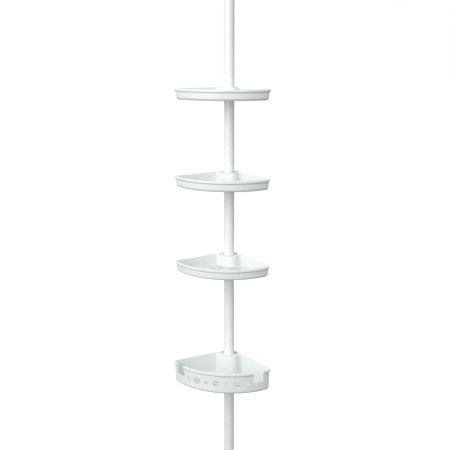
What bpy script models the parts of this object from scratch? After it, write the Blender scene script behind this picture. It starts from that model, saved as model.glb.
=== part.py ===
"""Corner shower caddy on a spring-loaded tension pole: three shallow trays and one deep basket.

Units are metres. The pole stands on +Z with its foot at the origin. +Y points into the room's corner,
and the curved fronts of the shelves face -Y. Each shelf drops over a split cone clip that grips the pole.
"""
import math

import bmesh
import bpy
from mathutils import Matrix, Vector

# Running gap that parts lying against each other keep.
GAP = 0.0003
# How far a cutter runs past the face that it opens.
RUN_OUT = 0.002

# Pole.
POLE_RADIUS = 0.0127
POLE_WALL = 0.0008
ROD_RADIUS = 0.0095
TOTAL_HEIGHT = 1.530
FOOT_SEAT = 0.016
LOWER_SEAM = 0.325
UPPER_SEAM = 0.795
UPPER_TUBE_TOP = 1.240
ROUND_STEPS = 28

# Neck that a tube pushes into the one above it.
SPIGOT_LENGTH = 0.035
SPIGOT_LEAD = 0.002
SPIGOT_TAPER = 0.0005

# Guide sleeve in the mouth of the upper tube.
SLEEVE_SKIRT = 0.075
SLEEVE_FLANGE = 0.014
SLEEVE_OVERHANG = 0.0016
SLEEVE_BEVEL = 0.003

# Spring inside the upper tube, and the plugs that it pushes apart.
PLUG_HEAD = 0.006
PLUG_STEM = 0.015
PLUG_CLEARANCE = 0.0005
SEAT_DEPTH = 0.014
SPRING_PIN_LENGTH = 0.008
SPRING_PIN_RADIUS = 0.0070
SPRING_PIN_TAPER = 0.0008
SPRING_LENGTH = 0.140
SPRING_SEAT_Z = UPPER_TUBE_TOP - SLEEVE_SKIRT - PLUG_HEAD - SPRING_LENGTH
SPRING_TURNS = 11
COIL_RADIUS = 0.009
WIRE_RADIUS = 0.001
WIRE_SIDES = 6
STEPS_A_TURN = 10
END_CLOSING = 0.055

# Foot and ceiling pads.
PAD_RADIUS = 0.025
PAD_FLOOR = 0.004
PAD_HEIGHT = 0.009
PAD_RIM = 0.003
PAD_EDGE = 0.001
GROOVE_RADII = (0.020, 0.013)
GROOVE_WIDTH = 0.0024
GROOVE_DEPTH = 0.0012
GROOVE_SLOPE = 0.0006
CUP_HEIGHT = 0.040
CUP_SHOULDER = 0.011
CUP_FLARE_HEIGHT = 0.013
CUP_WALL = 0.003
CUP_EDGE = 0.0012

# Outline of a shelf's rim, measured from the pole's axis.
BACK_RADIUS = 0.027
SIDE_LENGTH = 0.170
FRONT_REACH = 0.1435
TIP_RADIUS = 0.013

# Section through a shelf's wall. Insets are measured from the rim's outer edge. The lip band is upright
# down to its height, and slants back to the wall at its foot.
LIP_HEIGHT = 0.0048
LIP_FOOT = 0.0078
LIP_EDGE = 0.001
WALL_INSET = 0.0032
DRAFT = 0.001
WALL = 0.0022
FLOOR = 0.0022
BOTTOM_FILLET = 0.005
TRAY_HEIGHT = 0.026
BASKET_HEIGHT = 0.0512
BASKET_TILT = math.radians(4.0)
# How much larger the basket is in plan than a tray.
BASKET_SPREAD = 1.04

# Socket block round the pole.
BOSS_HALF_WIDTH = 0.0225
BOSS_FRONT = 0.025
BOSS_FILLET = 0.011
BOSS_DROP = 0.0004
POCKET_RADIUS = 0.0207
POCKET_START = 0.002
POCKET_FLOOR = 0.0164
SOCKET_CLEARANCE = GAP + 0.00005
SEAT_RUN_OUT = 0.004

# Split cone clip.
CLIP_BORE = POLE_RADIUS + GAP
CONE_HEIGHT = 0.013
CONE_TOP_RADIUS = 0.0146
CONE_BOTTOM_RADIUS = 0.0166
FLANGE_RADIUS = 0.0195
FLANGE_HEIGHT = 0.0035
FLANGE_EDGE = 0.0008
CLIP_STEPS = 10

# Openings.
SLOT_WIDTH = 0.0046
SLOT_RADII = (0.042, 0.060, 0.078, 0.096)
SLOT_ANGLES = (math.radians(8), math.radians(38))
HOLE_PITCH = math.radians(9.6)
LARGE_HOLE = 0.009
SMALL_HOLE = 0.004
HOLE_DEPTH = 0.0262
HOLE_CUTTER_LENGTH = 0.020
NOTCH_ANGLES = (math.radians(34.5), math.radians(44.2))
NOTCH_DEPTH = 0.0265
NOTCH_CUTTER_OUTSIDE = 0.008
NOTCH_CUTTER_INSIDE = 0.012
CUTTER_ABOVE_RIM = 0.010

# Height of each shelf's rim on the pole.
SHELVES = (
    ("upper_tray", 1.017),
    ("middle_tray", 0.8066),
    ("lower_tray", 0.5978),
    ("basket", 0.3393),
)


def clear_scene():
    for item in list(bpy.data.objects):
        bpy.data.objects.remove(item, do_unlink=True)


def make_material(name, colour, roughness, metallic=0.0):
    material = bpy.data.materials.new(name)
    material.use_nodes = True
    shader = material.node_tree.nodes["Principled BSDF"]
    shader.inputs["Base Color"].default_value = (*colour, 1.0)
    shader.inputs["Roughness"].default_value = roughness
    shader.inputs["Metallic"].default_value = metallic
    return material


def painted_steel(node):
    return make_material(node + "_paint", (0.88, 0.89, 0.90), 0.30)


def white_plastic(node):
    return make_material(node + "_plastic", (0.84, 0.87, 0.87), 0.38)


def pale_rubber(node):
    return make_material(node + "_rubber", (0.62, 0.63, 0.63), 0.75)


def spring_steel(node):
    return make_material(node + "_steel", (0.60, 0.60, 0.62), 0.32, 1.0)


def add_object(name, bm, material, height=0.0):
    """Makes an object from the bmesh, smooth except at its sharp edges, with its origin on the axis."""
    bmesh.ops.recalc_face_normals(bm, faces=bm.faces)
    mesh = bpy.data.meshes.new(name)
    bm.to_mesh(mesh)
    bm.free()
    mesh.shade_smooth()
    mesh.set_sharp_from_angle(angle=math.radians(35))
    item = bpy.data.objects.new(name, mesh)
    item.location.z = height
    bpy.context.scene.collection.objects.link(item)
    if material:
        mesh.materials.append(material)
    return item


def add_helper(name, bm, height=0.0):
    """Makes a wire object that only cuts, or adds to, another one."""
    helper = add_object(name, bm, None, height)
    helper.hide_render = True
    helper.display_type = "WIRE"
    return helper


def boolean(item, other, operation):
    modifier = item.modifiers.new(other.name, "BOOLEAN")
    modifier.operation = operation
    modifier.solver = "EXACT"
    modifier.object = other


def turn(bm, profile, steps=ROUND_STEPS):
    """Turns a closed (radius, height) outline round the Z axis, which some outlines touch."""
    points = [bm.verts.new((radius, 0.0, height)) for radius, height in profile]
    pairs = zip(points, points[1:] + points[:1])
    edges = [bm.edges.new(pair) for pair in pairs if any(vertex.co.x > 0 for vertex in pair)]
    bmesh.ops.spin(bm, geom=points + edges, cent=(0, 0, 0), axis=(0, 0, 1), dvec=(0, 0, 0),
                   angle=math.tau, steps=steps, use_merge=True)
    bmesh.ops.remove_doubles(bm, verts=bm.verts, dist=1e-6)


def turned_part(name, profile, material, height=0.0, steps=ROUND_STEPS):
    bm = bmesh.new()
    turn(bm, profile, steps)
    return add_object(name, bm, material, height)


def prism(bm, outline, bottom, top, lean=0.0):
    """Extrudes a flat outline between two heights, which rise towards -Y by the lean."""
    loops = []
    for level in (bottom, top):
        loops.append([bm.verts.new((x, y, level - y * lean)) for x, y in outline])
    stitch(bm, loops)


def stitch(bm, loops):
    """Joins loops of equal length into one closed skin, with a cap on the first and on the last."""
    count = len(loops[0])
    for low, high in zip(loops, loops[1:]):
        for i in range(count):
            j = (i + 1) % count
            bm.faces.new((low[i], low[j], high[j], high[i]))
    bm.faces.new(loops[0])
    bm.faces.new(loops[-1])


def arc_points(centre, radius, start, end, steps):
    angles = [start + (end - start) * i / steps for i in range(steps + 1)]
    return [(centre[0] + radius * math.cos(a), centre[1] + radius * math.sin(a)) for a in angles]


# Shelf outline ------------------------------------------------------------------------------------

APEX = BACK_RADIUS * math.sqrt(2)
TIP_X = SIDE_LENGTH / math.sqrt(2)
SAGITTA = APEX - TIP_X + FRONT_REACH
FRONT_RADIUS = (TIP_X ** 2 + SAGITTA ** 2) / (2 * SAGITTA)
FRONT_CENTRE_Y = FRONT_RADIUS - FRONT_REACH


def tip_centre():
    """Centre of the right tip's round, which touches the right side and the front curve."""
    offset = APEX - TIP_RADIUS * math.sqrt(2) - FRONT_CENTRE_Y
    reach = FRONT_RADIUS - TIP_RADIUS
    x = (offset + math.sqrt(2 * reach ** 2 - offset ** 2)) / 2
    return x, FRONT_CENTRE_Y + offset - x


def shelf_outline(inset, tip_steps=4, back_steps=6, front_steps=16):
    """Rim outline moved inwards: tip round, back round, tip round and front curve, with straight sides."""
    x, y = tip_centre()
    front_angle = math.atan2(y - FRONT_CENTRE_Y, x)
    quarter = math.pi / 4
    points = arc_points((x, y), TIP_RADIUS - inset, front_angle, quarter, tip_steps)
    points += arc_points((0, 0), BACK_RADIUS - inset, quarter, 3 * quarter, back_steps)
    points += arc_points((-x, y), TIP_RADIUS - inset, 3 * quarter, math.pi - front_angle, tip_steps)
    front = arc_points((0, FRONT_CENTRE_Y), FRONT_RADIUS - inset,
                       math.pi - front_angle, math.tau + front_angle, front_steps)
    return points + front[1:-1]


def fillet_levels(inset, floor_z, inwards):
    """(inset, height) pairs of a quarter round between a wall and the floor, from the floor up."""
    levels = []
    for angle in (90, 45, 0):
        turn_angle = math.radians(angle)
        levels.append((inset + BOTTOM_FILLET * (1 - math.cos(turn_angle)),
                       floor_z + BOTTOM_FILLET * (1 - math.sin(turn_angle))))
    return levels if not inwards else levels[::-1]


def shell_levels(height):
    """Section of the shelf's skin: under the floor, up the outside, over the rim and down the inside."""
    outer_foot = WALL_INSET + DRAFT
    inner_top = WALL_INSET + WALL
    levels = fillet_levels(outer_foot, -height, inwards=False)
    levels += [(WALL_INSET, -LIP_FOOT), (0.0, -LIP_HEIGHT)]
    levels += [(0.0, -LIP_EDGE), (LIP_EDGE, 0.0), (inner_top - LIP_EDGE, 0.0), (inner_top, -LIP_EDGE)]
    return levels + fillet_levels(outer_foot + WALL, FLOOR - height, inwards=True)


def widened(outline, spread):
    return [(x * spread, y * spread) for x, y in outline]


def shelf_shell(bm, height, lean, spread):
    loops = []
    for inset, level in shell_levels(height):
        outline = widened(shelf_outline(inset), spread)
        loops.append([bm.verts.new((x, y, level - y * lean)) for x, y in outline])
    stitch(bm, loops)


# Shelf details ------------------------------------------------------------------------------------

def boss_outline():
    """Block round the pole: flat front with rounded corners, sides that end inside the shelf's walls."""
    inset = WALL_INSET + WALL / 2
    side_y = APEX - inset * math.sqrt(2) - BOSS_HALF_WIDTH
    corner_x = BOSS_HALF_WIDTH - BOSS_FILLET
    corner_y = -BOSS_FRONT + BOSS_FILLET
    points = [(BOSS_HALF_WIDTH, side_y)]
    points += arc_points((0, 0), BACK_RADIUS - inset, math.pi / 4, 3 * math.pi / 4, 6)
    points += [(-BOSS_HALF_WIDTH, side_y)]
    points += arc_points((-corner_x, corner_y), BOSS_FILLET, math.pi, 1.5 * math.pi, 3)
    points += arc_points((corner_x, corner_y), BOSS_FILLET, 1.5 * math.pi, math.tau, 3)
    return points


def boss_block(name, height, lean, spread, z):
    bm = bmesh.new()
    prism(bm, widened(boss_outline(), spread), FLOOR / 2 - height, -BOSS_DROP, lean)
    return add_helper(name + "_boss", bm, z)


def cone_radius(level_above_flange):
    share = level_above_flange / CONE_HEIGHT
    return CONE_BOTTOM_RADIUS + (CONE_TOP_RADIUS - CONE_BOTTOM_RADIUS) * share


def seat_drop(lean):
    """How much lower a clip sits under a leaning floor, so that its flange stays clear."""
    return FLANGE_RADIUS * lean


def socket_cutter(name, height, lean, z):
    """Bore for the pole with the cone seat below it."""
    seat_bottom = -height - seat_drop(lean)
    seat_top = seat_bottom + CONE_HEIGHT + GAP
    profile = [
        (0.0, CUTTER_ABOVE_RIM),
        (POLE_RADIUS + SOCKET_CLEARANCE, CUTTER_ABOVE_RIM),
        (POLE_RADIUS + SOCKET_CLEARANCE, seat_top),
        (CONE_TOP_RADIUS + SOCKET_CLEARANCE, seat_top),
        (cone_radius(-SEAT_RUN_OUT) + SOCKET_CLEARANCE, seat_bottom - SEAT_RUN_OUT),
        (0.0, seat_bottom - SEAT_RUN_OUT),
    ]
    bm = bmesh.new()
    turn(bm, profile)
    return add_helper(name + "_socket", bm, z)


def pocket_cutter(name, height, z):
    """Hollow behind the pole, open at the top."""
    bm = bmesh.new()
    start = math.asin(POCKET_START / POCKET_RADIUS)
    outline = arc_points((0, 0), POCKET_RADIUS, start, math.pi - start, 12)
    prism(bm, outline, POCKET_FLOOR - height, CUTTER_ABOVE_RIM)
    return add_helper(name + "_pocket", bm, z)


def slot_outline(radius, start, end):
    """Curved slot round the pole's axis, with round ends."""
    half = SLOT_WIDTH / 2
    points = arc_points((0, 0), radius + half, start, end, 3)
    tip = (radius * math.cos(end), radius * math.sin(end))
    points += arc_points(tip, half, end, end + math.pi, 2)[1:-1]
    points += arc_points((0, 0), radius - half, end, start, 3)
    tip = (radius * math.cos(start), radius * math.sin(start))
    return points + arc_points(tip, half, start + math.pi, start + math.tau, 2)[1:-1]


def slot_cutter(name, height, lean, z):
    bm = bmesh.new()
    forward = -math.pi / 2
    for radius in SLOT_RADII:
        near, far = SLOT_ANGLES
        for start, end in ((forward + near, forward + far), (forward - far, forward - near)):
            outline = slot_outline(radius, start, end)
            prism(bm, outline, -height - RUN_OUT, FLOOR - height + RUN_OUT, lean)
    return add_helper(name + "_slots", bm, z)


def front_point(angle):
    """Point on the outside of the basket's front wall, at an angle from the middle, and the way out."""
    out = Vector((math.sin(angle), -math.cos(angle), 0))
    return (Vector((0, FRONT_CENTRE_Y, 0)) + out * (FRONT_RADIUS - WALL_INSET)) * BASKET_SPREAD, out


def basket_hole_cutter(name, lean, z):
    """Row of round holes through the front wall, large and small in turn."""
    bm = bmesh.new()
    for index in range(-3, 4):
        radius = SMALL_HOLE if index % 2 else LARGE_HOLE
        sides = 10 if index % 2 else 16
        point, out = front_point(index * HOLE_PITCH)
        point.z = -HOLE_DEPTH - point.y * lean
        place = Matrix.Translation(point) @ out.to_track_quat("Z", "Y").to_matrix().to_4x4()
        bmesh.ops.create_cone(bm, cap_ends=True, segments=sides, radius1=radius, radius2=radius,
                              depth=HOLE_CUTTER_LENGTH, matrix=place)
    return add_helper(name + "_holes", bm, z)


def basket_notch_cutter(name, lean, z):
    """Two notches from the rim down, one near each tip."""
    bm = bmesh.new()
    first, last = NOTCH_ANGLES
    for side in (-1, 1):
        start = side * first - math.pi / 2
        end = side * last - math.pi / 2
        low, high = min(start, end), max(start, end)
        centre = (0, FRONT_CENTRE_Y * BASKET_SPREAD)
        front = FRONT_RADIUS * BASKET_SPREAD
        outline = arc_points(centre, front + NOTCH_CUTTER_OUTSIDE, low, high, 3)
        outline += arc_points(centre, front - NOTCH_CUTTER_INSIDE, high, low, 3)
        prism(bm, outline, -NOTCH_DEPTH, CUTTER_ABOVE_RIM, lean)
    return add_helper(name + "_notches", bm, z)


def make_shelf(name, z):
    basket = name == "basket"
    height = BASKET_HEIGHT if basket else TRAY_HEIGHT
    lean = math.tan(BASKET_TILT) if basket else 0.0
    spread = BASKET_SPREAD if basket else 1.0
    bm = bmesh.new()
    shelf_shell(bm, height, lean, spread)
    shelf = add_object(name, bm, white_plastic(name), z)
    boolean(shelf, boss_block(name, height, lean, spread, z), "UNION")
    boolean(shelf, pocket_cutter(name, height, z), "DIFFERENCE")
    boolean(shelf, socket_cutter(name, height, lean, z), "DIFFERENCE")
    boolean(shelf, slot_cutter(name, height, lean, z), "DIFFERENCE")
    if basket:
        boolean(shelf, basket_hole_cutter(name, lean, z), "DIFFERENCE")
        boolean(shelf, basket_notch_cutter(name, lean, z), "DIFFERENCE")
    return shelf


# Split clip ---------------------------------------------------------------------------------------

def clip_profile():
    """(radius, height) outline of the clip's wall. Height 0 is the top of its flange."""
    return [
        (CLIP_BORE, CONE_HEIGHT),
        (CLIP_BORE, -FLANGE_HEIGHT),
        (FLANGE_RADIUS - FLANGE_EDGE, -FLANGE_HEIGHT),
        (FLANGE_RADIUS, -FLANGE_HEIGHT + FLANGE_EDGE),
        (FLANGE_RADIUS, -GAP),
        (CONE_BOTTOM_RADIUS, -GAP),
        (CONE_TOP_RADIUS, CONE_HEIGHT),
    ]


def clip_half(name, facing, z):
    """Half of the clip, on the +X side for facing 1 and on the -X side for facing -1."""
    bm = bmesh.new()
    split = GAP / CLIP_BORE
    middle = 0.0 if facing > 0 else math.pi
    loops = []
    for i in range(CLIP_STEPS + 1):
        angle = middle - math.pi / 2 + split + (math.pi - 2 * split) * i / CLIP_STEPS
        loops.append([bm.verts.new((r * math.cos(angle), r * math.sin(angle), h)) for r, h in clip_profile()])
    stitch(bm, loops)
    return add_object(name, bm, white_plastic(name), z)


def make_clip(shelf_name, rim_z):
    basket = shelf_name == "basket"
    height = BASKET_HEIGHT if basket else TRAY_HEIGHT
    lean = math.tan(BASKET_TILT) if basket else 0.0
    z = rim_z - height - seat_drop(lean)
    clip_half(shelf_name + "_clip_left", -1, z)
    clip_half(shelf_name + "_clip_right", 1, z)


# Pole ---------------------------------------------------------------------------------------------

def tube_profile(length, spigot):
    """Straight tube from height 0. A spigot narrows its top end to fit inside the next tube."""
    inner = POLE_RADIUS - POLE_WALL
    if not spigot:
        return [(POLE_RADIUS, length), (POLE_RADIUS, 0.0), (inner, 0.0), (inner, length)]
    neck = inner - GAP
    return [
        (neck - SPIGOT_TAPER, length + SPIGOT_LENGTH),
        (neck, length + SPIGOT_LENGTH - SPIGOT_LEAD),
        (neck, length),
        (POLE_RADIUS, length),
        (POLE_RADIUS, 0.0),
        (inner, 0.0),
        (inner, length - 2 * SPIGOT_LEAD),
        (neck - POLE_WALL, length - SPIGOT_LEAD),
        (neck - POLE_WALL, length + SPIGOT_LENGTH),
    ]


def make_pole():
    foot_z = FOOT_SEAT + GAP
    tubes = (
        ("lower_tube", foot_z, LOWER_SEAM - GAP, True),
        ("middle_tube", LOWER_SEAM, UPPER_SEAM - GAP, True),
        ("upper_tube", UPPER_SEAM, UPPER_TUBE_TOP, False),
    )
    for name, bottom, top, spigot in tubes:
        turned_part(name, tube_profile(top - bottom, spigot), painted_steel(name), bottom)


def make_spring_seat():
    """Plug fixed inside the upper tube, with a pin on top that centres the spring."""
    radius = POLE_RADIUS - POLE_WALL - GAP
    profile = [
        (0, SPRING_PIN_LENGTH),
        (SPRING_PIN_RADIUS - SPRING_PIN_TAPER, SPRING_PIN_LENGTH),
        (SPRING_PIN_RADIUS, 0.0),
        (radius, 0.0),
        (radius, -SEAT_DEPTH),
        (0, -SEAT_DEPTH),
    ]
    turned_part("spring_seat", profile, white_plastic("spring_seat"), SPRING_SEAT_Z)


def make_spring():
    """Compression spring, with its wire closing up to flat at both ends."""
    bm = bmesh.new()
    steps = SPRING_TURNS * STEPS_A_TURN
    bottom = GAP + WIRE_RADIUS
    rise = SPRING_LENGTH - 2 * bottom
    loops = []
    for i in range(steps + 1):
        share = i / steps
        eased = share - END_CLOSING * math.sin(math.tau * share)
        angle = math.tau * SPRING_TURNS * share
        across = Vector((math.cos(angle), math.sin(angle), 0))
        centre = across * COIL_RADIUS + Vector((0, 0, bottom + rise * eased))
        loop = []
        for k in range(WIRE_SIDES):
            turn_angle = math.tau * k / WIRE_SIDES
            offset = across * math.cos(turn_angle) + Vector((0, 0, 1)) * math.sin(turn_angle)
            loop.append(bm.verts.new(centre + offset * WIRE_RADIUS))
        loops.append(loop)
    stitch(bm, loops)
    add_object("spring", bm, spring_steel("spring"), SPRING_SEAT_Z)


def make_sleeve():
    """Guide in the mouth of the upper tube: a flange on top and a skirt inside."""
    outer = POLE_RADIUS - POLE_WALL - GAP
    inner = ROD_RADIUS + GAP
    flange = POLE_RADIUS + SLEEVE_OVERHANG
    profile = [
        (inner, SLEEVE_FLANGE),
        (inner, -SLEEVE_SKIRT),
        (outer, -SLEEVE_SKIRT),
        (outer, GAP),
        (flange, GAP),
        (flange, SLEEVE_FLANGE - 2 * SLEEVE_BEVEL),
        (flange - SLEEVE_BEVEL / 2, SLEEVE_FLANGE - SLEEVE_BEVEL / 2),
        (flange - SLEEVE_BEVEL, SLEEVE_FLANGE),
    ]
    turned_part("guide_sleeve", profile, white_plastic("guide_sleeve"), UPPER_TUBE_TOP)


def make_rod():
    """Inner tube that the spring pushes up against the ceiling, with the plug that follows the spring."""
    base = UPPER_TUBE_TOP - SLEEVE_SKIRT
    top = TOTAL_HEIGHT - FOOT_SEAT - GAP
    inner = ROD_RADIUS - POLE_WALL
    tube = [(ROD_RADIUS, top - base), (ROD_RADIUS, 0.0), (inner, 0.0), (inner, top - base)]
    turned_part("rod_tube", tube, painted_steel("rod_tube"), base)
    head = POLE_RADIUS - POLE_WALL - PLUG_CLEARANCE
    stem = inner - GAP
    pin_end = -PLUG_HEAD - SPRING_PIN_LENGTH
    plug = [
        (0, PLUG_STEM),
        (stem - SPIGOT_TAPER, PLUG_STEM),
        (stem, PLUG_STEM - SPIGOT_LEAD),
        (stem, -GAP),
        (head, -GAP),
        (head, -PLUG_HEAD),
        (SPRING_PIN_RADIUS, -PLUG_HEAD),
        (SPRING_PIN_RADIUS - SPRING_PIN_TAPER, pin_end),
        (0, pin_end),
    ]
    turned_part("rod_plug", plug, white_plastic("rod_plug"), base)


def pad_profile():
    """Rubber boot: grip grooves in its face and a recess for the cup. Height 0 is the face."""
    recess = PAD_RADIUS - PAD_RIM
    points = [(0, PAD_FLOOR), (recess, PAD_FLOOR), (recess, PAD_HEIGHT), (PAD_RADIUS - PAD_EDGE, PAD_HEIGHT)]
    points += [(PAD_RADIUS, PAD_EDGE), (PAD_RADIUS - PAD_EDGE, 0.0)]
    for outside in GROOVE_RADII:
        inside = outside - GROOVE_WIDTH
        points += [(outside, 0.0), (outside - GROOVE_SLOPE, GROOVE_DEPTH)]
        points += [(inside + GROOVE_SLOPE, GROOVE_DEPTH), (inside, 0.0)]
    return points + [(0, 0.0)]


def cup_profile(tube_radius):
    """Plastic foot that holds a tube end and sits in the boot. Height 0 is the boot's face."""
    base = PAD_RADIUS - PAD_RIM - GAP
    collar = tube_radius + CUP_WALL
    bore = tube_radius + GAP
    flare = []
    for share in (0.0, 0.25, 0.5, 0.75, 1.0):
        ease = math.sin(share * math.pi / 2)
        flare.append((base + (collar - base) * ease, CUP_SHOULDER + CUP_FLARE_HEIGHT * share))
    points = [(0, FOOT_SEAT), (bore, FOOT_SEAT), (bore, CUP_HEIGHT), (collar - CUP_EDGE, CUP_HEIGHT)]
    points += [(collar, CUP_HEIGHT - CUP_EDGE)]
    return points + flare[::-1] + [(base, PAD_FLOOR + GAP), (0, PAD_FLOOR + GAP)]


def make_end(pad_name, cup_name, tube_radius, z, flip):
    pad = turned_part(pad_name, pad_profile(), pale_rubber(pad_name), z)
    cup = turned_part(cup_name, cup_profile(tube_radius), white_plastic(cup_name), z)
    if flip:
        pad.rotation_euler.x = math.pi
        cup.rotation_euler.x = math.pi
    return pad, cup


def group_under_empty(name, z, children):
    """Empty on the pole's axis that moves a group of pieces together."""
    empty = bpy.data.objects.new(name, None)
    empty.empty_display_size = 0.05
    empty.location.z = z
    bpy.context.scene.collection.objects.link(empty)
    for child in children:
        child.parent = empty
        child.matrix_parent_inverse = Matrix.Translation((0, 0, -z))


def main():
    clear_scene()
    make_pole()
    make_spring_seat()
    make_spring()
    make_sleeve()
    make_rod()
    make_end("foot_pad", "foot_cup", POLE_RADIUS, 0.0, flip=False)
    pad, cup = make_end("ceiling_pad", "ceiling_cup", ROD_RADIUS, TOTAL_HEIGHT, flip=True)
    rod_pieces = [pad, cup, bpy.data.objects["rod_tube"], bpy.data.objects["rod_plug"]]
    group_under_empty("top_rod", UPPER_TUBE_TOP, rod_pieces)
    for name, z in SHELVES:
        make_shelf(name, z)
        make_clip(name, z)


main()
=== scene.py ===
"""Looks of the corner shower caddy: moulded shelves, enamelled tubes, rubber boots, soft studio light.

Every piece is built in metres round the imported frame. The pole is the Z axis and the shelves face -Y.
"""
import math

import bmesh
import bpy
from mathutils import Matrix, Vector


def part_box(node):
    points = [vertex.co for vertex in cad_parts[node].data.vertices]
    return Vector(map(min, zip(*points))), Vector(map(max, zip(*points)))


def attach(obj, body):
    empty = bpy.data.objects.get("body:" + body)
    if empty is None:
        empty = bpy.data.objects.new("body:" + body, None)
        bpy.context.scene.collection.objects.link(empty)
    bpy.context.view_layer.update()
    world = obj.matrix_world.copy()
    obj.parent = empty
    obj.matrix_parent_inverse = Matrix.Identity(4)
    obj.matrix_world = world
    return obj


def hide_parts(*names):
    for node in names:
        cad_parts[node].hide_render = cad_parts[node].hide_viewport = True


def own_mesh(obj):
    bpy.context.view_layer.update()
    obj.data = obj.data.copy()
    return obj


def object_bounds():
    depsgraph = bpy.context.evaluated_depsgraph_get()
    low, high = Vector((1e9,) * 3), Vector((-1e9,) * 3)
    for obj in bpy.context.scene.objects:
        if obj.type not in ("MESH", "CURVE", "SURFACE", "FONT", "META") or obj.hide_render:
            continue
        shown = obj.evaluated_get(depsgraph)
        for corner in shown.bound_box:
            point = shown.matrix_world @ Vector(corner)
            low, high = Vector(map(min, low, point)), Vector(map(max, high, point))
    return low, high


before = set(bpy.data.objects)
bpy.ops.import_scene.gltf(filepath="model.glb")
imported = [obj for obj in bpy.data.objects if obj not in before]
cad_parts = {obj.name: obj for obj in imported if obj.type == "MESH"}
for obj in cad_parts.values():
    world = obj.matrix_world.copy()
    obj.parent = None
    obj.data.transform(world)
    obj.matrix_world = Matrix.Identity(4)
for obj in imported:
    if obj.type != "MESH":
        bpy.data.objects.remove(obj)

CAD_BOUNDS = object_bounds()

# Sizes that the frame gives --------------------------------------------------------------------------

POLE_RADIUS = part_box("middle_tube")[1].x
ROD_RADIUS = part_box("rod_tube")[1].x
TRAY_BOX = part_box("upper_tray")
BACK_RADIUS = TRAY_BOX[1].y
FRONT_REACH = -TRAY_BOX[0].y
TRAY_HEIGHT = TRAY_BOX[1].z - TRAY_BOX[0].z
PAD_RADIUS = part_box("foot_pad")[1].x
PAD_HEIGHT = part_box("foot_pad")[1].z
CUP_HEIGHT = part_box("foot_cup")[1].z
TOTAL_HEIGHT = CAD_BOUNDS[1].z

# Sizes of the details --------------------------------------------------------------------------------

# Gap between touching pieces, a length that counts as nothing, the angle from which an edge is sharp, and
# how far a cutter stands above the rim.
GAP = 0.0003
TINY = 1e-9
SHARP_ANGLE = math.radians(32)
CUTTER_RISE = 0.01

# Steps round a turned piece and along the round stretches of an outline.
TUBE_STEPS = 96
SMALL_STEPS = 72
FRONT_STEPS = 84
TIP_STEPS = 14
BACK_STEPS = 24
WEB_STEPS = 10
BLOCK_STEPS = 8
POCKET_STEPS = 32
SLOT_STEPS = 16
SLOT_END_STEPS = 6
HOLE_STEPS = 40
COIL_STEPS = 40
WIRE_STEPS = 12

# Shelf section. Insets are measured inwards from the rim's outer edge.
SIDE_LENGTH = 0.170
TIP_RADIUS = 0.013
LIP_HEIGHT = 0.0048
LIP_FOOT = 0.0078
LIP_ROUND = 0.0005
WALL_INSET = 0.0032
WALL = 0.0022
DRAFT = 0.001
FLOOR = 0.0022
OUTER_FILLET = 0.0075
INNER_FILLET = 0.005
RIM_ROUND = 0.0011
BASKET_LEAN = math.tan(math.radians(4.0))
BASKET_HEIGHT = 0.0512
BASKET_SPREAD = 1.04

# Socket block round the pole, and the hollow behind it.
BOSS_HALF_WIDTH = 0.0225
BOSS_FRONT = 0.025
BOSS_ROUND = 0.012
BOSS_WEB_ROUND = 0.0064
POCKET_RADIUS = 0.0207
POCKET_START = 0.002
POCKET_FLOOR = 0.0164
POCKET_ROUND = 0.0007
SOCKET_CLEARANCE = 0.00035
MOUTH_DEPTH = 0.002

# Split cone clip.
CONE_HEIGHT = 0.013
CONE_TOP_RADIUS = 0.0146
CONE_BOTTOM_RADIUS = 0.0166
RIB_DEPTH = 0.00035

# Pole, rod and spring.
TUBE_WALL = 0.0008
TUBE_ROUND = 0.0004
BORE_ROUND = 0.0002
ROD_ROUND = 0.0003
NECK_LENGTH = 0.035
NECK_TAPER = 0.002
NECK_CHAMFER = 0.0005
PLUG_COLLAR = 0.006
PILOT_HEIGHT = 0.008
PILOT_RADIUS = 0.007
PILOT_TIP = 0.0062
WIRE_RADIUS = 0.001
COIL_TURNS = 11
COIL_CROWDING = 0.055

# Boots and cups at the ends.
PAD_WALL = 0.003
PAD_BASE = 0.004
GRIP_RINGS = (0.0205, 0.0155, 0.0105)
GRIP_DEPTH = 0.0012
CUP_BASE = 0.016
CUP_COLLAR = 0.003
CUP_WAIST = 0.026
CUP_NECK = 0.0225
CUP_SHOULDER = 0.0115

# Drain slots in the floors, and holes and notches in the basket's front wall. Angles are measured from
# straight ahead.
SLOT_WIDTH = 0.0046
SLOT_UNDERCUT = 0.0016
SLOT_RADII = (0.042, 0.060, 0.078, 0.096)
SLOT_ANGLES = (math.radians(8), math.radians(38))
SLOT_EASE = 0.00015
HOLE_PITCH = math.radians(9.6)
LARGE_HOLE = 0.009
SMALL_HOLE = 0.004
HOLE_EASE = 0.0003
HOLE_DEPTH = 0.0262
NOTCH_ANGLES = (math.radians(34.5), math.radians(44.2))
NOTCH_DEPTH = 0.0265
NOTCH_ROUND = 0.003

TRAYS = ("upper_tray", "middle_tray", "lower_tray")


# Small mesh helpers ----------------------------------------------------------------------------------

def new_object(name, bm):
    """Object in the scene from the mesh, with its faces turned outwards."""
    bmesh.ops.recalc_face_normals(bm, faces=bm.faces)
    mesh = bpy.data.meshes.new(name)
    bm.to_mesh(mesh)
    bm.free()
    item = bpy.data.objects.new(name, mesh)
    bpy.context.scene.collection.objects.link(item)
    return item


def finish_surface(item):
    """Smooth shading that keeps flat faces flat and breaks at the sharp edges."""
    item.data.shade_smooth()
    item.data.set_sharp_from_angle(angle=SHARP_ANGLE)
    weighted = item.modifiers.new("weighted_normals", "WEIGHTED_NORMAL")
    weighted.keep_sharp = True
    weighted.weight = 60


def dress(item, node, body, material):
    """Gives the piece its material, and lets it stand for the node on the body."""
    item.data.materials.append(material)
    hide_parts(node)
    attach(item, body)


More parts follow.
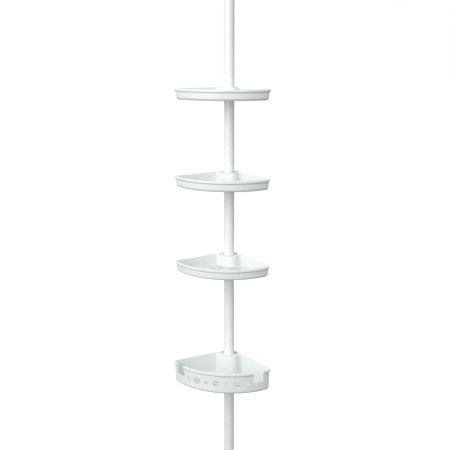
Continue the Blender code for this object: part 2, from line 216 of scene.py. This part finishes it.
def arc(centre, radius, start, end, steps):
    """Points from angle start to angle end, both included."""
    angles = [start + (end - start) * i / steps for i in range(steps + 1)]
    return [(centre[0] + radius * math.cos(a), centre[1] + radius * math.sin(a)) for a in angles]


def rounded(corners, steps):
    """Path through (x, y, radius) corners, each rounded to its radius."""
    path = []
    count = len(corners)
    for i, (x, y, radius) in enumerate(corners):
        here = Vector((x, y))
        if radius < TINY:
            path.append((x, y))
            continue
        before = Vector(corners[i - 1][:2]) - here
        after = Vector(corners[(i + 1) % count][:2]) - here
        half = before.angle(after) / 2
        before.normalize()
        after.normalize()
        centre = here + (before + after).normalized() * radius / math.sin(half)
        first = here + before * radius / math.tan(half) - centre
        last = here + after * radius / math.tan(half) - centre
        start = math.atan2(first.y, first.x)
        sweep = (math.atan2(last.y, last.x) - start + math.pi) % math.tau - math.pi
        path += arc(centre, radius, start, start + sweep, steps)
    return path


def rolled_edge(radius, angles):
    """(widening, height) pairs that round the mouth of a hollow up to the height 0."""
    turns = [math.radians(angle) for angle in angles]
    return [(radius * (1 - math.cos(turn)), radius * (math.sin(turn) - 1)) for turn in turns]


def stitch(bm, loops):
    """Joins loops of equal length into one skin, with a cap on the first and on the last."""
    count = len(loops[0])
    for low, high in zip(loops, loops[1:]):
        for i in range(count):
            j = (i + 1) % count
            bm.faces.new((low[i], low[j], high[j], high[i]))
    bm.faces.new(loops[0])
    bm.faces.new(loops[-1])


def lathe(bm, profile, steps=TUBE_STEPS):
    """Turns a closed (radius, height) outline round the Z axis, which it may touch."""
    rings = []
    for radius, height in profile:
        if radius < TINY:
            rings.append([bm.verts.new((0, 0, height))] * steps)
            continue
        angles = [math.tau * i / steps for i in range(steps)]
        rings.append([bm.verts.new((radius * math.cos(a), radius * math.sin(a), height)) for a in angles])
    for low, high in zip(rings, rings[1:] + rings[:1]):
        for i in range(steps):
            j = (i + 1) % steps
            corners = list(dict.fromkeys((low[i], low[j], high[j], high[i])))
            if len(corners) > 2:
                bm.faces.new(corners)


def turned(name, corners, steps=TUBE_STEPS):
    """Piece turned from (radius, height, round) corners."""
    bm = bmesh.new()
    lathe(bm, rounded(corners, steps=5), steps)
    item = new_object(name, bm)
    finish_surface(item)
    return item


def carve(item, cutters):
    """Cuts the cutters out of the item for good, and removes them."""
    for cutter in cutters:
        modifier = item.modifiers.new(cutter.name, "BOOLEAN")
        modifier.operation = "DIFFERENCE"
        modifier.solver = "EXACT"
        modifier.object = cutter
    graph = bpy.context.evaluated_depsgraph_get()
    item.modifiers.update()
    mesh = bpy.data.meshes.new_from_object(item.evaluated_get(graph))
    item.modifiers.clear()
    item.data = mesh
    for cutter in cutters:
        bpy.data.objects.remove(cutter)


# Shelf outlines --------------------------------------------------------------------------------------

# The straight sides would meet at the apex. The bulge is how far the front curve stands out past the line
# between the tips.
APEX = BACK_RADIUS * math.sqrt(2)
TIP_X = SIDE_LENGTH / math.sqrt(2)
BULGE = APEX - TIP_X + FRONT_REACH
FRONT_RADIUS = (TIP_X ** 2 + BULGE ** 2) / (2 * BULGE)
FRONT_CENTRE = (0.0, FRONT_RADIUS - FRONT_REACH)
QUARTER = math.pi / 4


def tip_centre():
    """Centre of the right tip's round, which touches the right side and the front curve."""
    offset = APEX - TIP_RADIUS * math.sqrt(2) - FRONT_CENTRE[1]
    reach = FRONT_RADIUS - TIP_RADIUS
    x = (offset + math.sqrt(2 * reach ** 2 - offset ** 2)) / 2
    return x, FRONT_CENTRE[1] + offset - x


TIP = tip_centre()
FRONT_ANGLE = math.atan2(TIP[1] - FRONT_CENTRE[1], TIP[0])


def front_arc(inset):
    """Front curve from the left tip to the right one, without its ends."""
    start = math.pi - FRONT_ANGLE
    return arc(FRONT_CENTRE, FRONT_RADIUS - inset, start, math.tau + FRONT_ANGLE, FRONT_STEPS)[1:-1]


def outer_outline(inset):
    """Rim outline moved inwards: right tip, back round, left tip, front."""
    points = arc(TIP, TIP_RADIUS - inset, FRONT_ANGLE, QUARTER, TIP_STEPS)
    points += arc((0, 0), BACK_RADIUS - inset, QUARTER, 3 * QUARTER, BACK_STEPS)
    points += arc((-TIP[0], TIP[1]), TIP_RADIUS - inset, 3 * QUARTER, math.pi - FRONT_ANGLE, TIP_STEPS)
    return points + front_arc(inset)


def cavity_outline(inset):
    """Outline of the hollow: the walls moved inwards by the inset, and the socket block left standing."""
    shrink = inset - WALL_INSET - WALL
    web_x = BOSS_HALF_WIDTH + BOSS_WEB_ROUND
    web_y = (BACK_RADIUS - WALL_INSET - WALL - BOSS_WEB_ROUND) * math.sqrt(2) - web_x
    corner_x = BOSS_HALF_WIDTH - BOSS_ROUND
    corner_y = BOSS_ROUND - BOSS_FRONT
    web = BOSS_WEB_ROUND - shrink
    block = BOSS_ROUND + shrink
    points = arc(TIP, TIP_RADIUS - inset, FRONT_ANGLE, QUARTER, TIP_STEPS)
    points += arc((web_x, web_y), web, QUARTER, math.pi, WEB_STEPS)
    points += arc((corner_x, corner_y), block, 0.0, -math.pi / 2, BLOCK_STEPS)
    points += arc((-corner_x, corner_y), block, -math.pi / 2, -math.pi, BLOCK_STEPS)
    points += arc((-web_x, web_y), web, 0.0, 3 * QUARTER, WEB_STEPS)
    points += arc((-TIP[0], TIP[1]), TIP_RADIUS - inset, 3 * QUARTER, math.pi - FRONT_ANGLE, TIP_STEPS)
    return points + front_arc(inset)


def loft(name, outline, levels, spread=1.0):
    """Solid through the outline at each (inset, height) level."""
    bm = bmesh.new()
    loops = []
    for inset, level in levels:
        loops.append([bm.verts.new((x * spread, y * spread, level)) for x, y in outline(inset)])
    stitch(bm, loops)
    return new_object(name, bm)


# Shelves ---------------------------------------------------------------------------------------------

def outer_levels(height):
    """Outside of a shelf from its underside to the middle of its rim."""
    foot = WALL_INSET + DRAFT
    corners = [
        (foot + OUTER_FILLET + DRAFT, -height, 0),
        (foot, -height, OUTER_FILLET),
        (WALL_INSET, -LIP_FOOT, LIP_ROUND),
        (0.0, -LIP_HEIGHT, LIP_ROUND),
        (0.0, 0.0, RIM_ROUND),
        (WALL_INSET, 0.0, 0),
    ]
    return rounded(corners, steps=8)


def cavity_levels(height):
    """Hollow of a shelf from its floor up past its rim, which it rounds."""
    top = WALL_INSET + WALL
    floor_z = FLOOR - height
    corners = [
        (top + DRAFT + INNER_FILLET, floor_z, 0),
        (top + DRAFT, floor_z, INNER_FILLET),
        (top, -RIM_ROUND, 0),
    ]
    levels = rounded(corners, steps=8)
    levels += [(top - wider, level) for wider, level in rolled_edge(RIM_ROUND, (20, 40, 60, 84))]
    return levels + [(levels[-1][0], CUTTER_RISE)]


def pocket_cutter(height):
    """Hollow behind the pole, open at the top, with a rounded mouth."""
    def outline(grow):
        """The part of a circle that lies behind a straight front, grown on all sides."""
        radius = POCKET_RADIUS + grow
        start = math.asin((POCKET_START - grow) / radius)
        return arc((0, 0), radius, start, math.pi - start, POCKET_STEPS)
    levels = [(0.0, POCKET_FLOOR - height), *rolled_edge(POCKET_ROUND, (0, 30, 60, 84))]
    return loft("pocket_cutter", outline, levels + [(levels[-1][0], CUTTER_RISE)])


def socket_cutter(height, drop):
    """Bore for the pole, with a closer mouth, and the cone seat under it."""
    bore = POLE_RADIUS + SOCKET_CLEARANCE
    mouth = POLE_RADIUS + SOCKET_CLEARANCE / 2
    seat_top = CONE_HEIGHT + GAP - height - drop
    slope = (CONE_BOTTOM_RADIUS - CONE_TOP_RADIUS) / CONE_HEIGHT
    run_out = 0.004
    bm = bmesh.new()
    profile = [
        (0.0, CUTTER_RISE),
        (mouth, CUTTER_RISE),
        (mouth, -MOUTH_DEPTH),
        (bore, -2 * MOUTH_DEPTH),
        (bore, seat_top),
        (CONE_TOP_RADIUS + SOCKET_CLEARANCE, seat_top),
        (CONE_BOTTOM_RADIUS + slope * run_out + SOCKET_CLEARANCE, -height - drop - run_out),
        (0.0, -height - drop - run_out),
    ]
    lathe(bm, profile, SMALL_STEPS)
    return new_object("socket_cutter", bm)


def slot_outline(radius, start, end, grow):
    """Curved slot round the pole's axis, with round ends."""
    half = SLOT_WIDTH / 2 + grow
    first = (radius * math.cos(start), radius * math.sin(start))
    last = (radius * math.cos(end), radius * math.sin(end))
    points = arc((0, 0), radius + half, start, end, SLOT_STEPS)
    points += arc(last, half, end, end + math.pi, SLOT_END_STEPS)[1:-1]
    points += arc((0, 0), radius - half, end, start, SLOT_STEPS)
    return points + arc(first, half, start + math.pi, start + math.tau, SLOT_END_STEPS)[1:-1]


def slot_cutter(height, undercut):
    """Drain slots through the floor, which widen downwards by the undercut."""
    below = 0.002
    above = 0.003
    top = FLOOR - height
    levels = [(undercut, -height - below), (undercut, -height), (0, top - SLOT_EASE)]
    levels += [(SLOT_EASE, top), (SLOT_EASE, top + above)]
    near, far = SLOT_ANGLES
    forward = -math.pi / 2
    bm = bmesh.new()
    for radius in SLOT_RADII:
        for start, end in ((forward + near, forward + far), (forward - far, forward - near)):
            loops = []
            for grow, level in levels:
                outline = slot_outline(radius, start, end, grow)
                loops.append([bm.verts.new((x, y, level)) for x, y in outline])
            stitch(bm, loops)
    return new_object("slot_cutter", bm)


def wall_place(angle, level):
    """Matrix at the middle of the front wall's thickness, with Z outwards and Y up."""
    out = Vector((math.sin(angle), -math.cos(angle), 0))
    middle = (FRONT_RADIUS - WALL_INSET - WALL / 2 - DRAFT * -level / BASKET_HEIGHT) * BASKET_SPREAD
    place = Vector((0, FRONT_CENTRE[1] * BASKET_SPREAD, level)) + out * middle
    along = Vector((math.cos(angle), math.sin(angle), 0))
    turn = Matrix((along, Vector((0, 0, 1)), out)).transposed().to_4x4()
    return Matrix.Translation(place) @ turn


def hole_cutter():
    """Row of round holes through the front wall, large and small in turn, with eased edges."""
    half = WALL / 2
    reach = 0.008
    bm = bmesh.new()
    for index in range(-3, 4):
        radius = SMALL_HOLE if index % 2 else LARGE_HOLE
        bow = radius ** 2 / (2 * FRONT_RADIUS)
        eased = radius + HOLE_EASE
        profile = [
            (0, -reach), (eased, -reach), (eased, -half - bow), (radius, HOLE_EASE - half - bow),
            (radius, half - HOLE_EASE - bow), (eased, half - bow), (eased, reach), (0, reach),
        ]
        hole = bmesh.new()
        lathe(hole, profile, HOLE_STEPS)
        hole.transform(wall_place(index * HOLE_PITCH, -HOLE_DEPTH))
        mesh = bpy.data.meshes.new("hole")
        hole.to_mesh(mesh)
        hole.free()
        bm.from_mesh(mesh)
        bpy.data.meshes.remove(mesh)
    return new_object("hole_cutter", bm)


def notch_cutter():
    """Two notches from the rim down, one near each tip, with round lower corners."""
    first, last = NOTCH_ANGLES
    width = (last - first) * FRONT_RADIUS * BASKET_SPREAD
    reach = 0.010
    corners = [
        (-width / 2, CUTTER_RISE, 0), (-width / 2, -NOTCH_DEPTH, NOTCH_ROUND),
        (width / 2, -NOTCH_DEPTH, NOTCH_ROUND), (width / 2, CUTTER_RISE, 0),
    ]
    section = rounded(corners, steps=8)
    bm = bmesh.new()
    for side in (-1, 1):
        place = wall_place(side * (first + last) / 2, 0.0)
        loops = []
        for depth in (-reach, reach):
            loops.append([bm.verts.new(place @ Vector((x, y, depth))) for x, y in section])
        stitch(bm, loops)
    return new_object("notch_cutter", bm)


def shelf_mesh(name, height, lean, spread):
    """Moulding with its rim at height 0. One that leans is the basket, with holes and notches."""
    item = loft(name, outer_outline, outer_levels(height), spread)
    cutters = [loft("cavity_cutter", cavity_outline, cavity_levels(height), spread), pocket_cutter(height)]
    cutters.append(slot_cutter(height, 0.0 if lean else SLOT_UNDERCUT))
    if lean:
        cutters += [hole_cutter(), notch_cutter()]
    carve(item, cutters)
    shear = Matrix.Identity(4)
    shear[2][1] = -lean
    item.data.transform(shear)
    carve(item, [socket_cutter(height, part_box("basket_clip_left")[1].x * lean)])
    return item


def place_shelf(item, node, rim_z, material):
    """Lifts the moulding to its rim's height, on the body that has the node's name."""
    item.location.z = rim_z
    item.data.materials.clear()
    finish_surface(item)
    dress(item, node, node, material)


def make_shelves(material):
    """Three trays of one moulding, and the basket."""
    trays = [shelf_mesh("upper_tray_moulding", TRAY_HEIGHT, 0.0, 1.0)]
    for node in TRAYS[1:]:
        tray = bpy.data.objects.new(node + "_moulding", trays[0].data.copy())
        bpy.context.scene.collection.objects.link(tray)
        trays.append(tray)
    for node, tray in zip(TRAYS, trays):
        place_shelf(tray, node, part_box(node)[1].z, material)
    basket = shelf_mesh("basket_moulding", BASKET_HEIGHT, BASKET_LEAN, BASKET_SPREAD)
    rim_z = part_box("basket")[1].z - FRONT_REACH * BASKET_SPREAD * BASKET_LEAN
    place_shelf(basket, "basket", rim_z, material)


# Clips -----------------------------------------------------------------------------------------------

def clip_jaw(node, body, facing, material):
    """Half of the split clip: a cone with a flange, and finger ribs round the flange."""
    low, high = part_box(node)
    bore = POLE_RADIUS + GAP
    flange = high.y
    top = high.z
    base = top - CONE_HEIGHT
    corners = [
        (bore, top, 0.0003), (bore, low.z, 0.0003), (flange, low.z, 0.0007), (flange, base - GAP, 0.0004),
        (CONE_BOTTOM_RADIUS, base - GAP, 0), (CONE_TOP_RADIUS, top, 0.0003),
    ]
    profile = rounded(corners, steps=4)
    steps = TUBE_STEPS // 2
    split = GAP / bore
    start = -math.pi / 2 + split + (0 if facing > 0 else math.pi)
    sweep = math.pi - 2 * split
    bm = bmesh.new()
    loops = []
    for i in range(steps + 1):
        angle = start + sweep * i / steps
        groove = RIB_DEPTH if i % 4 in (1, 2) else 0.0
        loop = []
        for radius, height in profile:
            reach = radius - groove if radius > flange - 0.0001 else radius
            loop.append(bm.verts.new((reach * math.cos(angle), reach * math.sin(angle), height)))
        loops.append(loop)
    stitch(bm, loops)
    item = new_object(node + "_jaw", bm)
    finish_surface(item)
    dress(item, node, body, material)


def make_clips(material):
    """Two jaws under each shelf."""
    for shelf in (*TRAYS, "basket"):
        for side, facing in (("left", -1), ("right", 1)):
            clip_jaw(f"{shelf}_clip_{side}", shelf + "_clip", facing, material)


# Pole ------------------------------------------------------------------------------------------------

def make_tubes(material):
    """The three sections of the pole, each with eased ends, and a neck where the next one fits over it."""
    inner = POLE_RADIUS - TUBE_WALL
    neck = inner - GAP
    for node in ("lower_tube", "middle_tube", "upper_tube"):
        low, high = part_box(node)
        foot = [(POLE_RADIUS, low.z, TUBE_ROUND), (inner, low.z, BORE_ROUND)]
        if node == "upper_tube":
            corners = [(POLE_RADIUS, high.z, TUBE_ROUND), *foot, (inner, high.z, BORE_ROUND)]
        else:
            seam = high.z - NECK_LENGTH
            corners = [
                (neck - NECK_CHAMFER, high.z, BORE_ROUND), (neck, high.z - NECK_TAPER, 0), (neck, seam, 0),
                (POLE_RADIUS, seam, TUBE_ROUND), *foot, (inner, seam - 2 * NECK_TAPER, 0),
                (neck - TUBE_WALL, seam - NECK_TAPER, 0), (neck - TUBE_WALL, high.z, BORE_ROUND),
            ]
        dress(turned(node + "_skin", corners), node, "pole", material)


def make_rod(steel, plastic):
    """Inner rod, and the plug in its lower end that the spring pushes on."""
    low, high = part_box("rod_tube")
    inner = ROD_RADIUS - TUBE_WALL
    corners = [
        (ROD_RADIUS, high.z, ROD_ROUND), (ROD_RADIUS, low.z, ROD_ROUND),
        (inner, low.z, BORE_ROUND), (inner, high.z, BORE_ROUND),
    ]
    dress(turned("rod_tube_skin", corners), "rod_tube", "top_rod", steel)
    plug_low, plug_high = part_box("rod_plug")
    stem = inner - GAP
    collar = plug_high.x
    foot = low.z - PLUG_COLLAR
    corners = [
        (0, plug_high.z, 0), (stem - NECK_CHAMFER, plug_high.z, 0.0003),
        (stem, plug_high.z - NECK_TAPER, 0), (stem, low.z - GAP, 0),
        (collar, low.z - GAP, 0.0004), (collar, foot, 0.0006),
        (PILOT_RADIUS, foot, 0), (PILOT_TIP, plug_low.z, 0.0006), (0, plug_low.z, 0),
    ]
    plug = turned("rod_plug_moulding", corners, SMALL_STEPS)
    dress(plug, "rod_plug", "top_rod", plastic)


def make_sleeve(material):
    """Collar in the mouth of the upper tube, with a flange that rests on it."""
    low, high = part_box("guide_sleeve")
    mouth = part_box("upper_tube")[1].z
    inner = ROD_RADIUS + GAP
    outer = POLE_RADIUS - TUBE_WALL - GAP
    flange = high.x
    corners = [
        (inner, high.z, 0.0006), (inner, low.z, 0.0004), (outer, low.z, 0.0006), (outer, mouth + GAP, 0),
        (flange, mouth + GAP, 0.0005), (flange, high.z - 0.006, 0.002), (flange - 0.003, high.z, 0.0012),
    ]
    sleeve = turned("guide_sleeve_moulding", corners)
    dress(sleeve, "guide_sleeve", "pole", material)


def make_spring_seat(material):
    """Plug in the upper tube, with a pilot that stands up into the spring."""
    low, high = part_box("spring_seat")
    shoulder = high.z - PILOT_HEIGHT
    corners = [
        (0, high.z, 0), (PILOT_TIP, high.z, 0.0006), (PILOT_RADIUS, shoulder, 0),
        (high.x, shoulder, 0.0004), (high.x, low.z, 0.0006), (0, low.z, 0),
    ]
    seat = turned("spring_seat_moulding", corners, SMALL_STEPS)
    dress(seat, "spring_seat", "pole", material)


def make_spring(material):
    """Coil with its end turns closed up."""
    low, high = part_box("spring")
    coil = high.y - WIRE_RADIUS
    rise = high.z - low.z - 2 * WIRE_RADIUS
    steps = COIL_TURNS * COIL_STEPS
    bm = bmesh.new()
    loops = []
    for i in range(steps + 1):
        share = i / steps
        level = low.z + WIRE_RADIUS + rise * (share - COIL_CROWDING * math.sin(math.tau * share))
        angle = math.tau * COIL_TURNS * share
        across = Vector((math.cos(angle), math.sin(angle), 0))
        loop = []
        for k in range(WIRE_STEPS):
            around = math.tau * k / WIRE_STEPS
            reach = coil + WIRE_RADIUS * math.cos(around)
            lift = level + WIRE_RADIUS * math.sin(around)
            loop.append(bm.verts.new(across * reach + Vector((0, 0, lift))))
        loops.append(loop)
    stitch(bm, loops)
    item = new_object("spring_coil", bm)
    item.data.shade_smooth()
    dress(item, "spring", "pole", material)
    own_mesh(item)


# Ends ------------------------------------------------------------------------------------------------

def pad_corners():
    """Section of a rubber boot with grip rings on its face, which is at height 0."""
    recess = PAD_RADIUS - PAD_WALL
    corners = [(0, PAD_BASE, 0), (recess, PAD_BASE, 0), (recess, PAD_HEIGHT, 0.0006)]
    corners += [(PAD_RADIUS, PAD_HEIGHT, 0.0009), (PAD_RADIUS, 0.0, 0.0014)]
    for ring in GRIP_RINGS:
        corners += [(ring, 0.0, 0.0004), (ring - 0.0006, GRIP_DEPTH, 0.0003)]
        corners += [(ring - 0.0018, GRIP_DEPTH, 0.0003), (ring - 0.0024, 0.0, 0.0004)]
    return corners + [(0, 0, 0)]


def cup_corners(tube_radius):
    """Section of the cup that sits in the boot and holds the tube."""
    base = PAD_RADIUS - PAD_WALL - GAP
    bore = tube_radius + GAP
    collar = tube_radius + CUP_COLLAR
    corners = [(0, CUP_BASE, 0), (bore, CUP_BASE, 0), (bore, CUP_HEIGHT, 0.0006)]
    corners += [(collar, CUP_HEIGHT, 0.0012), (collar + 0.0003, CUP_WAIST, 0)]
    corners += [(collar + 0.0012, CUP_NECK, 0.004), (base, CUP_SHOULDER, 0.003)]
    return corners + [(base, PAD_BASE + GAP, 0), (0, PAD_BASE + GAP, 0)]


def make_end(end, body, tube_radius, face_z, up, plastic, rubber):
    """Boot and cup at one end of the pole. Up is -1 at the ceiling."""
    pieces = (
        (pad_corners(), end + "_pad", rubber, "rubber"),
        (cup_corners(tube_radius), end + "_cup", plastic, "white_plastic"),
    )
    for corners, node, material, slot in pieces:
        placed = [(radius, face_z + up * height, soft) for radius, height, soft in corners]
        dress(turned(node + "_moulding", placed), node, body, material)


# Materials -------------------------------------------------------------------------------------------

def shader_tree(name, colour, roughness, **sockets):
    """New material with its node tree and its shader. A socket's name has _ for a space."""
    material = bpy.data.materials.new(name)
    material.use_nodes = True
    tree = material.node_tree
    shader = tree.nodes["Principled BSDF"]
    shader.inputs["Base Color"].default_value = (*colour, 1)
    shader.inputs["Roughness"].default_value = roughness
    for socket, value in sockets.items():
        shader.inputs[socket.replace("_", " ")].default_value = value
    return material, tree, shader


def noise(tree, scale, detail, coordinates, stretch=(1, 1, 1)):
    """Noise over the coordinates, which the stretch scales per axis."""
    mapping = tree.nodes.new("ShaderNodeMapping")
    mapping.inputs["Scale"].default_value = stretch
    texture = tree.nodes.new("ShaderNodeTexNoise")
    texture.inputs["Scale"].default_value = scale
    texture.inputs["Detail"].default_value = detail
    tree.links.new(coordinates, mapping.inputs["Vector"])
    tree.links.new(mapping.outputs["Vector"], texture.inputs["Vector"])
    return texture.outputs["Fac"]


def remap(tree, value, low, high):
    """Stretches the middle of a noise over a range."""
    node = tree.nodes.new("ShaderNodeMapRange")
    node.inputs["From Min"].default_value = 0.3
    node.inputs["From Max"].default_value = 0.7
    node.inputs["To Min"].default_value = low
    node.inputs["To Max"].default_value = high
    tree.links.new(value, node.inputs["Value"])
    return node.outputs["Result"]


def tint(tree, value, dark, light):
    """Colour between dark and light."""
    node = tree.nodes.new("ShaderNodeMix")
    node.data_type = "RGBA"
    node.inputs["A"].default_value = (*dark, 1)
    node.inputs["B"].default_value = (*light, 1)
    tree.links.new(value, node.inputs["Factor"])
    return node.outputs["Result"]


def bump(tree, shader, *layers):
    """Stacks (height, distance, strength) layers into the shader's normal."""
    previous = None
    for height, distance, strength in layers:
        node = tree.nodes.new("ShaderNodeBump")
        node.inputs["Distance"].default_value = distance
        node.inputs["Strength"].default_value = strength
        tree.links.new(height, node.inputs["Height"])
        if previous:
            tree.links.new(previous, node.inputs["Normal"])
        previous = node.outputs["Normal"]
    tree.links.new(previous, shader.inputs["Normal"])


def object_coordinates(tree):
    """Place in the object's own metres."""
    return tree.nodes.new("ShaderNodeTexCoord").outputs["Object"]


def moulded_plastic():
    """Satin white injection moulding: faint clouding, uneven gloss, fine grain and a slow sink wave."""
    material, tree, shader = shader_tree("moulded_plastic", (0.86, 0.885, 0.885), 0.36, IOR=1.49)
    where = object_coordinates(tree)
    clouds = noise(tree, 22, 3, where)
    tree.links.new(tint(tree, remap(tree, clouds, 0, 1), (0.845, 0.874, 0.876), (0.868, 0.890, 0.889)),
                   shader.inputs["Base Color"])
    tree.links.new(remap(tree, noise(tree, 160, 4, where), 0.31, 0.43), shader.inputs["Roughness"])
    grain = noise(tree, 2600, 2, where)
    wave = noise(tree, 34, 1, where)
    bump(tree, shader, (wave, 0.0006, 0.25), (grain, 0.00006, 0.5))
    return material


def enamel():
    """Smooth white enamel over steel: orange peel under a clear gloss."""
    material, tree, shader = shader_tree("enamel", (0.90, 0.905, 0.91), 0.26, Coat_Weight=0.25)
    where = object_coordinates(tree)
    clouds = noise(tree, 30, 2, where, (1, 1, 0.3))
    tree.links.new(tint(tree, remap(tree, clouds, 0, 1), (0.888, 0.893, 0.900), (0.904, 0.908, 0.912)),
                   shader.inputs["Base Color"])
    tree.links.new(remap(tree, noise(tree, 300, 3, where), 0.22, 0.31), shader.inputs["Roughness"])
    bump(tree, shader, (noise(tree, 620, 2, where), 0.00012, 0.35))
    return material


def boot_rubber():
    """Matt pale grey rubber, faintly mottled."""
    material, tree, shader = shader_tree("boot_rubber", (0.62, 0.63, 0.63), 0.78)
    where = object_coordinates(tree)
    clouds = noise(tree, 60, 4, where)
    tree.links.new(tint(tree, remap(tree, clouds, 0, 1), (0.58, 0.59, 0.595), (0.65, 0.655, 0.655)),
                   shader.inputs["Base Color"])
    tree.links.new(remap(tree, noise(tree, 220, 3, where), 0.68, 0.86), shader.inputs["Roughness"])
    bump(tree, shader, (noise(tree, 1500, 3, where), 0.00015, 0.6))
    return material


def spring_wire():
    """Drawn steel wire with fine streaks."""
    material, tree, shader = shader_tree("spring_wire", (0.56, 0.56, 0.58), 0.3, Metallic=1.0)
    where = object_coordinates(tree)
    drawn = noise(tree, 400, 3, where, (1, 1, 6))
    tree.links.new(tint(tree, remap(tree, drawn, 0, 1), (0.48, 0.48, 0.50), (0.62, 0.62, 0.64)),
                   shader.inputs["Base Color"])
    tree.links.new(remap(tree, drawn, 0.24, 0.42), shader.inputs["Roughness"])
    bump(tree, shader, (drawn, 0.00005, 0.4))
    return material


# Stage -----------------------------------------------------------------------------------------------

# Strength of the room's light at its horizon, and how it grows along X, Y and Z. It never falls below
# ROOM_DARKEST, nor below ROOM_GLOSS in a reflection.
ROOM_LEVEL = 0.45
ROOM_GRADIENT = (0.0, -0.10, 0.48)
ROOM_DARKEST = 0.02
ROOM_GLOSS = 0.4

FLOOR_SIZE = 30.0
FLOOR_GLOW = 0.35
FLOOR_DROP = 0.0005
LIGHT_TARGET = (0, 0, 0.8)

# Lens in millimetres, shift as a share of the frame's width, places in metres, angles in degrees.
CAMERA_LENS = 59.1
CAMERA_SHIFT = -0.2
CAMERA_DISTANCE = 1.8142
CAMERA_HEIGHT = 1.0943
CAMERA_AZIMUTH = 12.177
CAMERA_DOWN = 6.139
CAMERA_TURN = 0.326


def white_floor():
    """Pale floor that takes soft shadows but throws no light back up at the object."""
    material, tree, shader = shader_tree("studio_floor", (0.9, 0.9, 0.9), 0.9)
    shader.inputs["Emission Color"].default_value = (1, 1, 1, 1)
    shader.inputs["Emission Strength"].default_value = FLOOR_GLOW
    fine = noise(tree, 40, 2, object_coordinates(tree))
    bump(tree, shader, (fine, 0.0005, 0.1))
    path = tree.nodes.new("ShaderNodeLightPath")
    clear = tree.nodes.new("ShaderNodeBsdfTransparent")
    mix = tree.nodes.new("ShaderNodeMixShader")
    tree.links.new(path.outputs["Is Camera Ray"], mix.inputs[0])
    tree.links.new(clear.outputs["BSDF"], mix.inputs[1])
    tree.links.new(shader.outputs["BSDF"], mix.inputs[2])
    tree.links.new(mix.outputs["Shader"], tree.nodes["Material Output"].inputs["Surface"])
    return material


def make_floor():
    """Large pale floor, a hair under the foot."""
    bm = bmesh.new()
    bmesh.ops.create_grid(bm, x_segments=8, y_segments=8, size=FLOOR_SIZE)
    item = new_object("studio_floor", bm)
    item.location.z = -FLOOR_DROP
    item.data.materials.append(white_floor())


def area_light(name, place, size, power):
    """Soft white disc aimed at the object, which the camera doesn't see."""
    data = bpy.data.lights.new(name, "AREA")
    data.shape = "DISK"
    data.size = size
    data.energy = power
    item = bpy.data.objects.new(name, data)
    item.location = place
    item.rotation_euler = (Vector(LIGHT_TARGET) - Vector(place)).to_track_quat("-Z", "Y").to_euler()
    item.visible_camera = False
    bpy.context.scene.collection.objects.link(item)


def make_world():
    """White room lit from above and a little from the front, and seen pure white behind the object."""
    world = bpy.data.worlds.new("studio")
    bpy.context.scene.world = world
    world.use_nodes = True
    tree = world.node_tree
    background = tree.nodes["Background"]
    background.inputs["Color"].default_value = (1, 1, 1, 1)
    where = tree.nodes.new("ShaderNodeTexCoord")
    across = tree.nodes.new("ShaderNodeVectorMath")
    across.operation = "DOT_PRODUCT"
    across.inputs[1].default_value = ROOM_GRADIENT
    level = tree.nodes.new("ShaderNodeMath")
    level.operation = "ADD"
    level.inputs[1].default_value = ROOM_LEVEL
    lowest = tree.nodes.new("ShaderNodeMath")
    lowest.operation = "MAXIMUM"
    lowest.inputs[1].default_value = ROOM_DARKEST
    path = tree.nodes.new("ShaderNodeLightPath")
    gloss = tree.nodes.new("ShaderNodeMath")
    gloss.operation = "MULTIPLY"
    gloss.inputs[1].default_value = ROOM_GLOSS
    brighter = tree.nodes.new("ShaderNodeMath")
    brighter.operation = "MAXIMUM"
    seen = tree.nodes.new("ShaderNodeMix")
    seen.inputs["B"].default_value = 1.0
    tree.links.new(where.outputs["Generated"], across.inputs[0])
    tree.links.new(across.outputs["Value"], level.inputs[0])
    tree.links.new(level.outputs["Value"], lowest.inputs[0])
    tree.links.new(path.outputs["Is Camera Ray"], seen.inputs["Factor"])
    tree.links.new(path.outputs["Is Glossy Ray"], gloss.inputs[0])
    tree.links.new(gloss.outputs["Value"], brighter.inputs[0])
    tree.links.new(lowest.outputs["Value"], brighter.inputs[1])
    tree.links.new(brighter.outputs["Value"], seen.inputs["A"])
    tree.links.new(seen.outputs["Result"], background.inputs["Strength"])


def make_lights():
    """Large key light from the front left, and a weak fill from the back left."""
    area_light("key", place=(-1.0, -2.4, 1.62), size=2.2, power=45)
    area_light("back_fill", place=(-1.0, 2.3, 1.0), size=2.0, power=8)


def make_camera():
    """Stands a little above the upper tray and to the right, and looks slightly down."""
    data = bpy.data.cameras.new("camera")
    data.sensor_width = 36.0
    data.lens = CAMERA_LENS
    data.shift_y = CAMERA_SHIFT
    data.clip_start = 0.05
    data.clip_end = 100
    camera = bpy.data.objects.new("camera", data)
    azimuth = math.radians(CAMERA_AZIMUTH)
    across = CAMERA_DISTANCE * math.sin(azimuth)
    camera.location = (across, -CAMERA_DISTANCE * math.cos(azimuth), CAMERA_HEIGHT)
    camera.rotation_euler = (math.radians(90 - CAMERA_DOWN), 0, azimuth + math.radians(CAMERA_TURN))
    bpy.context.scene.collection.objects.link(camera)
    bpy.context.scene.camera = camera


def main():
    """Builds every piece of the caddy, then the stage round it."""
    plastic = moulded_plastic()
    steel = enamel()
    rubber = boot_rubber()
    make_shelves(plastic)
    make_clips(plastic)
    make_tubes(steel)
    make_rod(steel, plastic)
    make_sleeve(plastic)
    make_spring_seat(plastic)
    make_spring(spring_wire())
    make_end("foot", "pole", POLE_RADIUS, 0.0, 1, plastic, rubber)
    make_end("ceiling", "top_rod", ROD_RADIUS, TOTAL_HEIGHT, -1, plastic, rubber)
    make_floor()
    make_world()
    make_lights()
    make_camera()
    bpy.context.scene.view_settings.view_transform = "Standard"


main()
